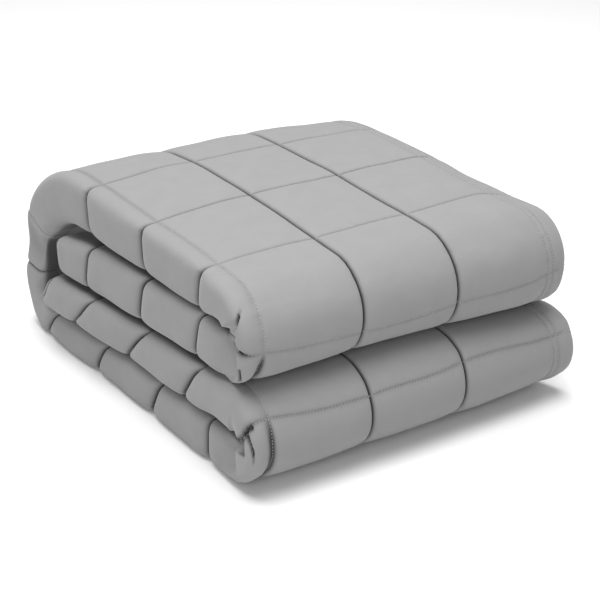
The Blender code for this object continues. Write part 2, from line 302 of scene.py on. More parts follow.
def right_edge(lines):
    """Half ellipses for the fold and for the two hems, with a slit between each two: level
    is the lobe's middle plus its half height times the sine of an angle that runs from 90
    to -90 degrees, and one minus its cosine says how far the cloth has drawn back."""
    stretches = []
    turn = np.linspace(np.pi / 2, -np.pi / 2, lines + 1)
    for number, (setback, top, bottom) in enumerate(LOBES):
        is_fold, is_last = number == 0, number == len(LOBES) - 1
        level = (top + bottom) / 2 + (top - bottom) / 2 * np.sin(turn)
        level = np.clip(level, bottom + SLIT_SHARE * (not is_last),
                        top - SLIT_SHARE * (not is_fold))
        drawn_back = LOBE_REACH * (1 - np.cos(turn)) * (1.0 if is_fold else HEM_LOBE)
        stretches.append(stretch(
            lines + 1, share=1.0, offset=-setback - drawn_back, level=level,
            across=np.cos(turn), out=np.sin(turn), bite=0.0,
            squares=EDGE_SQUARES - is_fold * np.linspace(EDGE_ARC, 0.0, lines + 1),
            crown=is_fold * PUFF_OUTER * (1 + np.sin(turn)) / 2))
        if not is_last:
            walls = np.array([bottom + SLIT_SHARE, bottom - SLIT_SHARE])
            stretches.append(stretch(2, share=1.0, offset=-setback - SLIT_DEPTH / (1 + number),
                                     level=walls, squares=EDGE_SQUARES))
    return np.concatenate(stretches)


print("points on the right edge:", len(right_edge(EDGE_LINES)))

# %% [markdown]
# The left fold is the full round side that the photograph shows best. A plain half circle
# looks like a pipe there. A superellipse is fuller: it stays upright for longer and then
# turns in more quickly, as cloth with filling does.

# %% Inner face and left fold
INNER_LINES = 20
FOLD_LINES = (10, 28)       # on the part turned in, and on the part that shows
# degrees: where the fold starts, where it starts to show, and its last two points
FOLD_ANGLES = (270, 200, 93, 91.3)


def inner_face(lines):
    """The face turned inwards, in even steps from the foot of the last slit to where the
    left fold starts."""
    start = STRIP_WIDTH - SLIT_DEPTH
    x = np.linspace(start, FOLD_REACH, lines, endpoint=False)
    return stretch(lines, share=x / STRIP_WIDTH, level=-1.0, out=-1.0,
                   squares=-(FOLD_ARC + x - FOLD_REACH) / SQUARE, crown=PUFF_INNER,
                   bite=INNER_BITE)


def left_fold(coarse, fine):
    """A superellipse from the inner face up to the outer one: cosine and sine of the angle,
    each raised to a power below 1, so that the fold is fuller than a circle. The part
    that shows gets the finer steps."""
    start, shows, end, last = FOLD_ANGLES
    angle = np.radians(np.concatenate([np.linspace(start, shows, coarse, endpoint=False),
                                       np.linspace(shows, end, fine), [last]]))
    c, s = np.cos(angle), np.sin(angle)
    across = np.sign(c) * np.abs(c) ** FOLD_SQUARENESS
    level = np.sign(s) * np.abs(s) ** FOLD_SQUARENESS
    squares = -FOLD_ARC / SQUARE * (np.degrees(angle) - 90) / 180
    crown = PUFF_FOLD + (PUFF_INNER - PUFF_FOLD) * np.maximum(0.0, -s) ** 2
    return stretch(len(angle), share=0.0, offset=FOLD_REACH * (1 + across), level=level,
                   across=c, out=s, squares=squares, crown=crown, bite=1.0)


SECTION = np.concatenate([outer_face(SQUARE_LINES), right_edge(EDGE_LINES),
                          inner_face(INNER_LINES), left_fold(*FOLD_LINES)])
print("points round the section:", len(SECTION))

# %% [markdown]
# ## How a square swells and a seam bites
#
# Between its seams a square rises quickly and stays nearly flat, because beads are heavy.
# Right at the seam the thread pulls the two faces together into a narrow groove. Both
# are plain functions of how far a point is between two seams, so whole arrays go
# through them at once.

# %% Swelling and grooves
CROWN_POWER = 5.0           # how flat the middle of a crown is
SEAM_DROP = 0.3             # how much of its crown a square loses at a seam without bite
GROOVE_DEPTH = 0.0060       # of the deepest seams
GROOVE_WIDTH = 0.0012       # distance over which a groove fades to a third
NUDGE = 1e-9                # counts a point right on a seam to the square after it


def bite_between(share, before, after):
    """The bite of the nearer seam: before it up to the middle of the square, then after."""
    return np.where(share < 0.5, before, after)


def crown(share, bite):
    """1 in the middle of a square; at a seam it drops by 30% to 100% with the bite. The
    drop follows the distance from the middle to a high power."""
    drop = SEAM_DROP + (1 - SEAM_DROP) * bite
    return 1 - drop * np.abs(2 * share - 1) ** CROWN_POWER


def groove(share, bite, side, wide=1.0):
    """Depth of the groove: falls off exponentially with the distance to the seam."""
    distance = np.minimum(share, 1 - share) * side
    return bite * GROOVE_DEPTH * np.exp(-distance / (GROOVE_WIDTH * wide))


def long_bites(squares):
    """Bite of the lengthwise seams before and after each point of the section: the outer
    face's own where the seam is one of its three, and the inner bite elsewhere."""
    before = np.floor(squares + NUDGE).astype(int)
    count = len(OUTER_BITES)
    return [np.where((seam >= 1) & (seam <= count),
                     np.take(OUTER_BITES, np.clip(seam, 1, count) - 1), INNER_BITE)
            for seam in (before, before + 1)]


print("groove 0, 1 and 3 mm from a hard seam, mm:",
      (1000 * groove(np.array([0.0, 0.001, 0.003]) / SQUARE, 1.0, SQUARE)).round(1))

# %% [markdown]
# ## Creases, tucks and slack
#
# Where the strip bends, the left fold has more cloth than room. It gathers into a few
# short creases, and the filling gives way in broad dents. A cloth simulation would have
# to fold eighteen rows of sewn squares twice to find them, so they are given one by one: a
# table lists where each one starts and ends, counted in rows and squares like the seams,
# and a bell curve round that line presses the cloth in.

# %% Creases and dents
CREASES = (
    # crease                         row  squares      row  squares     depth   width
    ("upper roll, pinch",           4.270,  -0.160,   4.200,  -0.270,   0.0045,  0.0016),
    ("upper roll, pinch fades",     4.300,  -0.110,   4.270,  -0.160,   0.0018,  0.0013),
    ("upper roll, slit",            3.870,  -0.215,   3.780,  -0.110,   0.0045,  0.0015),
    ("lower roll, along seam",     14.010,  -0.310,  13.990,  -0.140,   0.0048,  0.0014),
    ("lower roll, first",          14.010,  -0.350,  13.880,  -0.380,   0.0055,  0.0014),
    ("lower roll, second",         13.980,  -0.330,  13.850,  -0.340,   0.0050,  0.0012),
    ("lower roll, third",          14.000,  -0.290,  13.950,  -0.240,   0.0055,  0.0017),
    ("lower roll, third bends",    13.950,  -0.240,  13.870,  -0.200,   0.0055,  0.0018),
    ("lower roll, third fades",    13.870,  -0.200,  13.820,  -0.190,   0.0025,  0.0016),
)
DENTS = (
    # dent, or swelling if < 0       row  squares      row  squares     depth   width
    ("above the lower roll",       14.200,  -0.600,  14.450,  -0.620,   0.0120,  0.0200),
    ("above the upper roll",        4.280,  -0.580,   4.600,  -0.620,   0.0080,  0.0180),
    ("beside the upper roll",       3.680,  -0.310,   3.860,  -0.460,   0.0085,  0.0150),
    ("beside the lower roll",      13.480,  -0.420,  13.780,  -0.500,   0.0060,  0.0160),
    ("spine, upper square",         8.420,  -0.500,   8.600,  -0.440,   0.0170,  0.0330),
    ("spine, lower square",         9.350,  -0.400,   9.450,  -0.300,   0.0050,  0.0300),
    ("upper roll's shoulder",       4.700,   3.340,   5.500,   3.400,   0.0088,  0.0480),
    ("upper roll's corner",         4.360,   3.400,   4.660,   3.420,   0.0110,  0.0400),
    ("back corner",                 7.500,   2.900,   7.600,   3.200,   0.0050,  0.0500),
    ("upper roll hangs",            3.300,   3.200,   3.900,   3.200,  -0.0080,  0.1200),
    ("lower roll gives way",       14.500,   3.200,  15.500,   3.200,   0.0090,  0.1100),
)
ROW_SIDE = LINE_AT[-1] / LAST_ROW      # metres of strip to a row


def pressed(table, row, squares):
    """Total depth of a table's creases or dents: for each segment, a bell curve of the
    distance to it, measured on the cloth."""
    depth = np.zeros(np.broadcast(row, squares).shape)
    for _, row_a, squares_a, row_b, squares_b, deep, width in table:
        run_row, run_squares = (row_b - row_a) * ROW_SIDE, (squares_b - squares_a) * SQUARE
        from_row, from_squares = (row - row_a) * ROW_SIDE, (squares - squares_a) * SQUARE
        t = (from_row * run_row + from_squares * run_squares) / (run_row**2 + run_squares**2)
        t = np.clip(t, 0.0, 1.0)
        distance = np.hypot(from_row - t * run_row, from_squares - t * run_squares)
        depth = depth + deep * np.exp(-((distance / width) ** 2))
    return depth


print(len(CREASES), "pieces of crease and", len(DENTS), "dents")

# %% [markdown]
# Beside each roll the layer that runs into it tucks in behind a rounded band. That is a
# step rather than a dent: the left fold drops by a centimetre behind an edge that wanders
# over the cloth. One table for each roll follows the edge.

# %% Tucks beside the rolls
UPPER_TUCK = (
    # row   edge    drop: the fold drops by this much on the far side of the edge
    (3.10,  0.00,   0.0000),
    (3.50, -0.03,   0.0030),
    (3.70, -0.10,   0.0050),
    (3.76, -0.14,   0.0075),
    (3.80, -0.20,   0.0110),
    (3.96, -0.32,   0.0120),
    (4.19, -0.29,   0.0080),
    (4.26, -0.16,   0.0000),
)
LOWER_TUCK = (
    (13.20, -0.20,  0.0000),
    (13.50, -0.30,  0.0060),
    (13.75, -0.38,  0.0130),
    (14.00, -0.35,  0.0140),
    (14.12, -0.33,  0.0080),
    (14.20, -0.32,  0.0000),
)
TUCK_EDGES = (0.0025, 0.0060)       # how soft the two tucks' edges are
TUCK_END, TUCK_FADE = 0.5, 0.2      # squares from the first seam, and over how many it ends


def smooth_step(t):
    """0 below 0, 1 above 1, and an S curve between."""
    t = np.clip(t, 0.0, 1.0)
    return t * t * (3 - 2 * t)


def tucks(row, squares):
    """How far the left fold drops beside each roll: nothing on the band's side of the
    edge, the full drop past it, and nothing again towards the inner face."""
    drop = 0.0
    for table, soft in zip((UPPER_TUCK, LOWER_TUCK), TUCK_EDGES):
        rows, edges, drops = np.array(table).T
        past = (np.interp(row, rows, edges) - squares) * SQUARE / soft
        inner = smooth_step((-squares - TUCK_END) / TUCK_FADE)
        drop = drop + np.interp(row, rows, drops) * smooth_step(past) * (1 - inner)
    return drop


print("deepest tucks, mm:", [round(1000 * max(row[2] for row in table), 1)
                             for table in (UPPER_TUCK, LOWER_TUCK)])

# %% [markdown]
# The top bulges, because two layers of filling lie under it. And no cloth is quite even:
# a few slow waves, none above a third of a millimetre, keep the open squares from looking
# machined.

# %% Dome and slack
DOME = (
    # row   height: the top bulges between its two edges
    (4.3,   0.0000),
    (5.0,   0.0030),
    (6.0,   0.0080),
    (7.0,   0.0085),
    (7.3,   0.0050),
    (7.6,   0.0000),
)
DOME_RISE, DOME_FALL = 0.30, 0.12       # shares of the width over which it rises, falls
DOME_GONE = 1.02            # share of the width where it has fallen to nothing
SLACK = (
    # waves a row, waves a square, phase, height
    (0.31,  0.43,  0.4,  0.00035),
    (0.83, -0.61,  2.1,  0.00030),
    (1.70,  1.10,  4.0,  0.00018),
    (-0.90, 2.30,  1.3,  0.00014),
)


def dome(row, share):
    """The bulge of the top: its height at this row, rising from the left edge and
    falling again at the right one."""
    rows, heights = np.array(DOME).T
    rise = smooth_step(share / DOME_RISE) * smooth_step((DOME_GONE - share) / DOME_FALL)
    return np.interp(row, rows, heights) * rise


def slack(row, squares):
    """Sum of slow sine waves over the cloth."""
    return sum(height * np.sin(2 * np.pi * (along * row + across * squares) + phase)
               for along, across, phase, height in SLACK)


print("height of the dome, mm:", 1000 * max(height for _, height in DOME))

# %% [markdown]
# ## How far the cloth stands off
#
# Crowns, grooves, creases, tucks and slack now add up to one number for each point of the
# cloth. Where a groove and a crease meet, their depths would add to a cut that reaches
# the other face, so there is a limit. The depth of the cuts is kept as well, because it
# sets the painted shade: the cloth's colour is darkened in the cuts, standing for the shade
# that falls in them.

# %% Relief
SEAM_BITES = np.array([seam[6:8] for seam in CROSS_SEAMS]).T
FOLD_BLEND = 0.25           # squares over which the face's bite becomes the fold's
FOLD_GROOVE = 1.9           # how many times wider a crosswise groove is on the left fold
EDGE_DEPTH = 0.0012         # of the line of stitches beside the right edge
DEEPEST_CUT = 0.0080        # where creases meet they get no deeper than this
# painted shade: the deeper a cut, the darker the cloth's colour is made, up to this depth
DARKEST_CUT = 0.0036        # a groove this deep is as dark as a seam gets
DARK_POWER = 1.5            # above 1, shallow grooves stay paler


def relief(row, squares, size, bite):
    """How far the cloth stands off the plain strip, and how much shade is painted into its
    colour. The cut is the deepest groove plus the creases, up to a limit; the height is the
    crown minus the cut and the tucks, plus slack; the painted shade is a power of the cut."""
    between_rows, between_squares = row % 1.0, squares % 1.0
    seam = np.clip(np.floor(row + NUDGE).astype(int), 0, LAST_ROW)
    following = np.minimum(seam + 1, LAST_ROW)
    fold_share = np.clip(-squares / FOLD_BLEND, 0, 1) * (squares > -1)
    bites = [SEAM_BITES[0][i] * (1 - fold_share) + SEAM_BITES[1][i] * fold_share
             for i in (seam, following)]
    cross_bite = bite_between(between_rows, *bites)
    long_bite = bite_between(between_squares, *long_bites(squares))
    rows, first_bite = np.array(FIRST_SEAM_BITE).T
    by_first_seam = np.abs(squares) < 0.5
    long_bite = np.where(by_first_seam, np.interp(row, rows, first_bite), long_bite)
    swell = size * crown(between_rows, cross_bite) * crown(between_squares, long_bite)
    from_edge_line = np.abs(squares - EDGE_STITCH) * SQUARE
    wide = 1 + (FOLD_GROOVE - 1) * fold_share
    cut = np.maximum(groove(between_rows, cross_bite, ROW_SIDE, wide),
                     groove(between_squares, long_bite, SQUARE))
    cut = np.maximum(cut, EDGE_DEPTH * np.exp(-from_edge_line / GROOVE_WIDTH))
    cut = np.minimum(bite * cut + pressed(CREASES, row, squares), DEEPEST_CUT)
    swell = swell - cut - tucks(row, squares) + slack(row, squares)
    # the second value is painted shade: darker colour in the grooves and creases, for the
    # shade that falls in them
    return swell, np.clip(cut / DARKEST_CUT, 0, 1) ** DARK_POWER


middle = relief(np.array([1.5]), np.array([1.5]), PUFF_OUTER, 1.0)[0][0]
print("height in the middle of one square, mm:", round(1000 * middle, 2))

# %% [markdown]
# On the left, neighbouring layers roll in towards each other and touch. The crease
# between them is nearly black in the photograph. The layers of the model keep a thin gap,
# so some light gets in, and shade is painted into the cloth's colour where real cloth would
# touch.

# %% Contact shade
CONTACT_FROM, CONTACT_FULL = 0.22, 0.55     # how far in two layers touch, in fold reaches
CONTACT_ROWS = (3.3, 14.7)  # between these rows the outer face touches no other layer
CONTACT_FADE = 0.4          # rows
CONTACT_DARK = 0.8


def contact(row, share, offset, level):
    """Painted shade in the crease where the left folds of two layers meet: none on the open
    part of the fold, full where it has turned in, and only on faces that do touch."""
    turned_in = smooth_step((offset / FOLD_REACH - CONTACT_FROM)
                            / (CONTACT_FULL - CONTACT_FROM)) * (share == 0)
    first, last = CONTACT_ROWS
    covered = (smooth_step((first - row) / CONTACT_FADE)
               + smooth_step((row - last) / CONTACT_FADE))
    return CONTACT_DARK * turned_in * np.where(level > 0, covered, 1.0)


print("outer faces touch before row", CONTACT_ROWS[0], "and past row", CONTACT_ROWS[1])

# %% [markdown]
# ## The folded, quilted surface
#
# Now everything is put together. A row number says how far along the cloth we are,
# counted in squares, and the section says how far round. The row is turned into a
# distance along the fold line, the section is set square to the line there, and the
# relief is added outwards. Whole grids of points go through at once.

# %% Surface
SEAM_PLACES = np.array([seam[1:6] for seam in CROSS_SEAMS]).T
HEM_FADE = 30               # degrees round a hem over which the darkness fades
WOBBLE = 0.0008             # how far a sewn line strays from straight
# radians a row and a square, of the waves in which seams stray along and across
STRAY_ALONG, STRAY_ACROSS = (2.4, 5.2), (2.9, 1.7)


def stray(row, squares, waves):
    """The wobble times the sine of so much a row plus so much a square."""
    return WOBBLE * np.sin(waves[0] * row + waves[1] * squares)


def surface(row, section, end_angle=0.0):
    """Points of the cloth for these rows and this section, and their darkness. Along the
    strip: the row's place, between its seams. Across: left edge plus share of the width.
    Off the line: the level times the half thickness, plus the relief, minus the dents. At
    a hem the thickness shrinks with the cosine of end_angle while the end moves out with
    its sine."""
    share, offset, level, across, out, squares, size, bite = section.T
    row = np.asarray(row, float)[:, None]
    shrink = math.cos(math.radians(end_angle)) ** END_SQUARENESS
    outside = 0.5 + level * shrink / 2
    seams = np.arange(LAST_ROW + 1)
    *outer_at, inner_at = (np.interp(row, seams, places) for places in SEAM_PLACES)
    across_squares = (share * STRIP_WIDTH - FIRST_SEAM) / SQUARE
    across_squares = np.clip(across_squares, 0, len(outer_at) - 1)
    outer_at = sum(place * np.maximum(0, 1 - np.abs(across_squares - number))
                   for number, place in enumerate(outer_at))
    along = outside * outer_at + (1 - outside) * inner_at
    facing = np.where(row < LAST_ROW / 2, -1.0, 1.0)
    reach = END_ROUNDING * math.sin(math.radians(end_angle)) ** END_SQUARENESS
    along = along + facing * reach + stray(row, squares, STRAY_ALONG)

    inside = np.clip(along, 0.0, LINE_AT[-1])
    y, z, angle, outer, inner, left, right, skew = (
        np.interp(inside, LINE_AT, column) for column in LINE.T)
    y = y + (along - inside) * np.cos(angle) - skew * share
    z = z + (along - inside) * np.sin(angle)

    swell, dark = relief(row, squares, size, bite)
    # painted shade: the shade of the creases where layers touch joins the painted shade of the
    # seams, and both fade out round a hem
    dark = np.maximum(dark, contact(row, share, offset, level))
    dark = dark * max(0.0, 1 - end_angle / HEM_FADE)
    dent = pressed(DENTS, row, squares)
    half = np.where(level > 0, outer - PUFF_OUTER, inner - PUFF_INNER)
    press = np.where(share < 1, out, np.maximum(out, 0) * (level > 0))
    off = shrink * (level * half + swell * out - dent * press + dome(row, share) * outside)
    drawn_in = END_ROUNDING * (1 - shrink) * (1 - 2 * share)
    x = (left + share * (right - left) + offset + drawn_in
         + (swell - dent * (share < 1)) * across + stray(row, squares, STRAY_ACROSS))
    return np.stack([x, y - off * np.sin(angle), z + off * np.cos(angle)], axis=-1), dark


width = np.ptp(surface([9.5], SECTION)[0][0, :, 0])
print("width of the strip on the spine, mm:", round(1000 * width, 1))

# %% [markdown]
# The mesh lines crowd at the seams, and run closer still beside the two rolls, where the
# creases are.

# %% Lines of the mesh
CLOSE_ROWS = ((3.66, 4.34), (13.66, 14.24))
CLOSE_STEP = 0.0125
ROW_LINES = 26              # mesh lines to a row everywhere else
OWN_LINES = 0.03            # this close to a seam its own crowded lines stay
END_ANGLES = (8, 20, 38, 54, 68, 79)    # loops that round off a hem, degrees


def mesh_rows(lines):
    """Row numbers of the mesh lines, crowded at the seams, with even fine steps in the
    close rows."""
    rows = np.concatenate([number + crowded(lines) for number in range(LAST_ROW)]
                          + [[LAST_ROW]])
    for start, stop in CLOSE_ROWS:
        fine = np.arange(start, stop, CLOSE_STEP)
        fine = fine[np.abs(fine - np.round(fine)) > OWN_LINES]
        near_seam = np.abs(rows - np.round(rows)) < OWN_LINES
        rows = np.concatenate([rows[(rows < start) | (rows > stop) | near_seam], fine])
    return np.sort(rows)


ROWS = mesh_rows(ROW_LINES)
print("rows along the strip:", len(ROWS))

# %% [markdown]
# ## From arrays to a mesh
#
# The loops of points are joined with four-sided faces, and each end of the strip gets one
# face that closes it. The cloth is heavy, so what would hang below the surface is pressed
# flat on it. A UV map counted in squares lets the finish follow the sewing later.

# %% Helpers for the mesh
PRESSED_FLAT = 0.0012       # how much of the lowest crowns the shelf presses flat


def settle(points):
    """Press the lowest crowns flat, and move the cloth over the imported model."""
    floor = points[..., 2].min() + PRESSED_FLAT
    shift = np.array([*LINE_ORIGIN, -floor])
    points = points + shift
    points[..., 2] = np.maximum(points[..., 2], 0.0)
    return points, shift


def cloth_mesh(name, points, rows, squares, dark):
    """Quads between neighbouring loops, an end face at each hem, the UV map, and the shade
    painted into the seams and creases at every point."""
    count, around = points.shape[:2]
    index = np.arange(count * around).reshape(count, around)
    beside = np.roll(index, -1, axis=1)
    quads = np.stack([index[:-1], beside[:-1], beside[1:], index[1:]], axis=-1).reshape(-1, 4)
    faces = quads.tolist() + [index[0, ::-1].tolist(), index[-1].tolist()]
    mesh = bpy.data.meshes.new(name)
    mesh.from_pydata(points.reshape(-1, 3), [], faces)
    uv_of_vertex = np.stack(np.broadcast_arrays(squares[None, :], rows[:, None]), -1)
    loops = np.empty(len(mesh.loops), np.int32)
    mesh.loops.foreach_get("vertex_index", loops)
    uv = uv_of_vertex.reshape(-1, 2)[loops].astype(np.float32)
    mesh.uv_layers.new(name="cloth").data.foreach_set("uv", uv.ravel())
    # painted shade of the seams and creases, stored on every point for the cloth's colour
    shade = mesh.attributes.new("painted_shade", "FLOAT", "POINT")
    shade.data.foreach_set("value", dark.ravel().astype(np.float32))
    mesh.validate()
    mesh.shade_smooth()
    return mesh


def add_piece(name, mesh, material):
    """An object at the origin that rides on the blanket's body."""
    mesh.materials.append(material)
    piece = bpy.data.objects.new(name, mesh)
    bpy.context.scene.collection.objects.link(piece)
    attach(piece, BODY)
    return piece


print("mesh lines:", len(ROWS), "by", len(SECTION))

# %% [markdown]
# Each hem is rounded off with six more loops, in which the section shrinks towards its
# middle. They are the same surface at its first or last row, with an angle that runs
# round the end.

# %% The cloth
first = [surface(ROWS[:1], SECTION, angle) for angle in END_ANGLES[::-1]]
last = [surface(ROWS[-1:], SECTION, angle) for angle in END_ANGLES]
parts = first + [surface(ROWS, SECTION)] + last
cloth_points, SHIFT = settle(np.concatenate([points for points, _ in parts]))
painted_cloth_shade = np.concatenate([dark for _, dark in parts])
all_rows = np.concatenate([[0.0] * len(first), ROWS, [LAST_ROW] * len(last)])
SQUARES_COLUMN = SECTION_COLUMNS.index("squares")
blanket_mesh = cloth_mesh("quilted_cloth", cloth_points, all_rows,
                          SECTION[:, SQUARES_COLUMN], painted_cloth_shade)
print("cloth triangles:", sum(len(face.vertices) - 2 for face in blanket_mesh.polygons))

# %% [markdown]
# ## Stitches
#
# Every seam is a row of lockstitches, a little under four millimetres apart. Each stitch is
# a short thread with four rings: it comes up out of the cloth, lies on it, and goes down
# again. To place them, a seam is followed in small steps, its length is measured, and the
# rings are set at even distances along it. All stitches are one mesh.

# %% Sizes of the stitches
STITCH_PITCH = 0.0038
STITCH_LENGTH = 0.0028
THREAD_RADIUS = 0.00042
RING_AT = np.array([0.0, 0.22, 0.78, 1.0])         # shares of a stitch's length
RING_LIFT = np.array([-1.2, 0.55, 0.55, -1.2])     # in thread radii, off the cloth
THREAD_SIDES = 4
LENGTHWISE = (0.0, 1.0, 2.0, 3.0, EDGE_STITCH)     # squares
HEM_GAP = 0.05              # rows that a lengthwise seam stays clear of the hems
ACROSS_FROM, ACROSS_TO = -0.62, 3.40               # squares that a crosswise seam spans
print("stitches in one square's side:", int(SQUARE / STITCH_PITCH))

# %% [markdown]
# A seam is a line on the surface that we already have, so the same function finds its
# points. Asking for three lines at once, one on the seam and one close to either side of
# it, also tells which way is across the seam, and with the seam's own direction that
# gives the normal.

# %% Points on a seam
ASIDE = 0.004               # step to either side of a seam, squares
SHOWN = np.concatenate([left_fold(*FOLD_LINES), outer_face(SQUARE_LINES),
                        right_edge(EDGE_LINES)[:EDGE_LINES + 1]])


def section_at(squares):
    """The section's row at any number of squares on its open side, by interpolation."""
    return np.column_stack([np.interp(squares, SHOWN[:, SQUARES_COLUMN], column)
                            for column in SHOWN.T])


def seam_points(steps, fixed, lengthwise):
    """Points on a seam and a little to each side of it, as three arrays. A lengthwise
    seam steps through rows at fixed squares, a crosswise one the other way round."""
    sides = fixed + np.array([-ASIDE, 0.0, ASIDE])
    if lengthwise:
        points, _ = surface(steps, section_at(sides))
        return points.transpose(1, 0, 2)
    return surface(sides, section_at(steps))[0]


def unit(vectors):
    """Vectors scaled to length 1."""
    return vectors / np.maximum(np.linalg.norm(vectors, axis=-1, keepdims=True), 1e-9)


print("points that carry the open side:", len(SHOWN))

# %% [markdown]
# Even steps of the row number are not even steps on the cloth, because the rows differ
# in length and bend round the rolls. So the seam's length is added up first, and the even
# distances of the stitches are looked up in it.

# %% Stitches along a seam
SEAM_STEPS = 4000           # in which a seam is measured
LOOK_AHEAD = 0.0004         # metres before and after a ring that give its direction


def stitches(fixed, lengthwise):
    """Rings of all stitches on one seam, stitch by ring by side. A ring stands square to
    the seam: its radius times the cosine along the cloth plus the sine along the normal."""
    low, high = (HEM_GAP, LAST_ROW - HEM_GAP) if lengthwise else (ACROSS_FROM, ACROSS_TO)
    steps = np.linspace(low, high, SEAM_STEPS)
    path = seam_points(steps, fixed, lengthwise)[1]
    run = np.concatenate([[0.0], np.cumsum(np.linalg.norm(np.diff(path, axis=0), axis=1))])
    starts = np.arange(0.0, run[-1] - STITCH_PITCH, STITCH_PITCH)
    ring_run = (starts[:, None] + STITCH_LENGTH * RING_AT).ravel()
    before, middle, after = seam_points(np.interp(ring_run, run, steps), fixed, lengthwise)
    forward = np.column_stack([np.interp(ring_run + LOOK_AHEAD, run, column)
                               - np.interp(ring_run - LOOK_AHEAD, run, column)
                               for column in path.T])
    aside = unit(after - before)
    normal = unit(np.cross(unit(forward), aside)) * (-1.0 if lengthwise else 1.0)
    lift = np.tile(RING_LIFT, len(starts))[:, None] * THREAD_RADIUS
    turn = np.arange(THREAD_SIDES) * 2 * np.pi / THREAD_SIDES
    ring = (np.cos(turn)[:, None] * aside[:, None] + np.sin(turn)[:, None] * normal[:, None])
    points = (middle + normal * lift)[:, None] + THREAD_RADIUS * ring
    return points.reshape(len(starts), len(RING_AT), THREAD_SIDES, 3)


seams = [stitches(squares, True) for squares in LENGTHWISE]
seams += [stitches(float(row), False) for row in range(1, LAST_ROW)]
print("stitches on each seam:", [len(seam) for seam in seams])

# %% [markdown]
# All seams but the hems get their stitches. They are closed four-sided tubes of 28
# triangles each, because there are thousands, and one mesh holds them all.


# %% Mesh of the stitches
def stitch_mesh(name, rings):
    """One tube a stitch: quads between its rings, and a quad on each end."""
    count, along, around = rings.shape[:3]
    index = np.arange(along * around).reshape(along, around)
    beside = np.roll(index, -1, axis=1)
    tube = np.stack([index[:-1], beside[:-1], beside[1:], index[1:]], -1).reshape(-1, 4)
    one = np.concatenate([tube, [index[0, ::-1]], [index[-1]]])
    faces = (one[None] + np.arange(count)[:, None, None] * along * around).reshape(-1, 4)
    mesh = bpy.data.meshes.new(name)
    mesh.from_pydata(rings.reshape(-1, 3), [], faces.tolist())
    mesh.validate()
    mesh.shade_smooth()
    return mesh


stitch_rings = np.concatenate(seams) + SHIFT
stitch_rings[..., 2] = np.maximum(stitch_rings[..., 2], 0.0)
thread_mesh = stitch_mesh("stitches", stitch_rings)
print(len(stitch_rings), "stitches,", len(thread_mesh.polygons) * 2, "triangles")

# %% [markdown]
# ## Cloth finish
#
# Brushed microfibre is matt and even. What the eye reads as cloth is a fine nap that
# varies a little in tone, a soft sheen at grazing angles, and small puckers that run
# away from each line of stitches. Materials are built from nodes, and a few short helpers
# keep that readable: one makes a node, one does sums, one makes noise.


# %% Helpers for nodes
def node(tree, kind, inputs=(), **settings):
    """A new node with its settings and its constant inputs."""
    made = tree.nodes.new(kind)
    for key, value in settings.items():
        setattr(made, key, value)
    for key, value in inputs:
        made.inputs[key].default_value = value
    return made


def maths(tree, operation, first, second=None):
    """A maths node; each operand is a socket or a number."""
    made = node(tree, "ShaderNodeMath", operation=operation)
    for slot, value in enumerate((first, second)):
        if isinstance(value, bpy.types.NodeSocket):
            tree.links.new(value, made.inputs[slot])
        elif value is not None:
            made.inputs[slot].default_value = value
    return made.outputs[0]


def noise(tree, place, scale, detail):
    """A noise texture's value at a place."""
    made = node(tree, "ShaderNodeTexNoise", (("Scale", scale), ("Detail", detail)))
    tree.links.new(place, made.inputs["Vector"])
    return made.outputs["Fac"]


def grey_colour(tree, grey, shader):
    """The same value in red, green and blue, as the shader's base colour."""
    colour = node(tree, "ShaderNodeCombineColor")
    for channel in colour.inputs:
        tree.links.new(grey, channel)
    tree.links.new(colour.outputs[0], shader.inputs["Base Color"])


print("node helpers:", [helper.__name__ for helper in (node, maths, noise, grey_colour)])

# %% [markdown]
# A pucker is a ripple that crosses a seam and fades to a third within five millimetres.
# The UV map counts squares and rows, so the distance to the nearest seam is a ping-pong
# of it, and noise that is stretched away from the seam gives the ripples.

# %% Puckers
PUCKER_HEIGHT = 0.0040      # metres
PUCKER_FINE, PUCKER_SLOW = 13.0, 3.0        # ripples a square, along a seam and away from it
PUCKER_REACH = 0.04         # squares


def pucker(tree, along, from_seam):
    """Ripples that cross a seam: noise that changes quickly along it and slowly away from
    it, fading off exponentially with the distance in squares."""
    place = node(tree, "ShaderNodeCombineXYZ")
    tree.links.new(maths(tree, "MULTIPLY", along, PUCKER_FINE), place.inputs[0])
    tree.links.new(maths(tree, "MULTIPLY", from_seam, PUCKER_SLOW), place.inputs[1])
    ripple = maths(tree, "SUBTRACT", noise(tree, place.outputs[0], 1.0, 1.0), 0.5)
    fade = maths(tree, "EXPONENT", maths(tree, "MULTIPLY", from_seam, -1.0 / PUCKER_REACH))
    return maths(tree, "MULTIPLY", ripple, fade)


print("puckers reach, mm:", round(1000 * PUCKER_REACH * SQUARE, 1))

# %% [markdown]
# The nap is noise of about a millimetre, and a softer noise of about two centimetres
# keeps the brushed face from looking like paper. With the puckers they go into one node
# group. It puts out a height, for the bump, and a tone, for the colour.

# %% Cloth detail group
NAP_SCALE, SOFT_SCALE = 950.0, 42.0         # a metre
NAP_DETAIL, SOFT_DETAIL = 3.0, 2.0          # octaves
NAP_TONE, SOFT_TONE = 0.14, 0.10            # share of the tone that each varies
NAP_HEIGHT, SOFT_HEIGHT = 0.00025, 0.0014   # metres


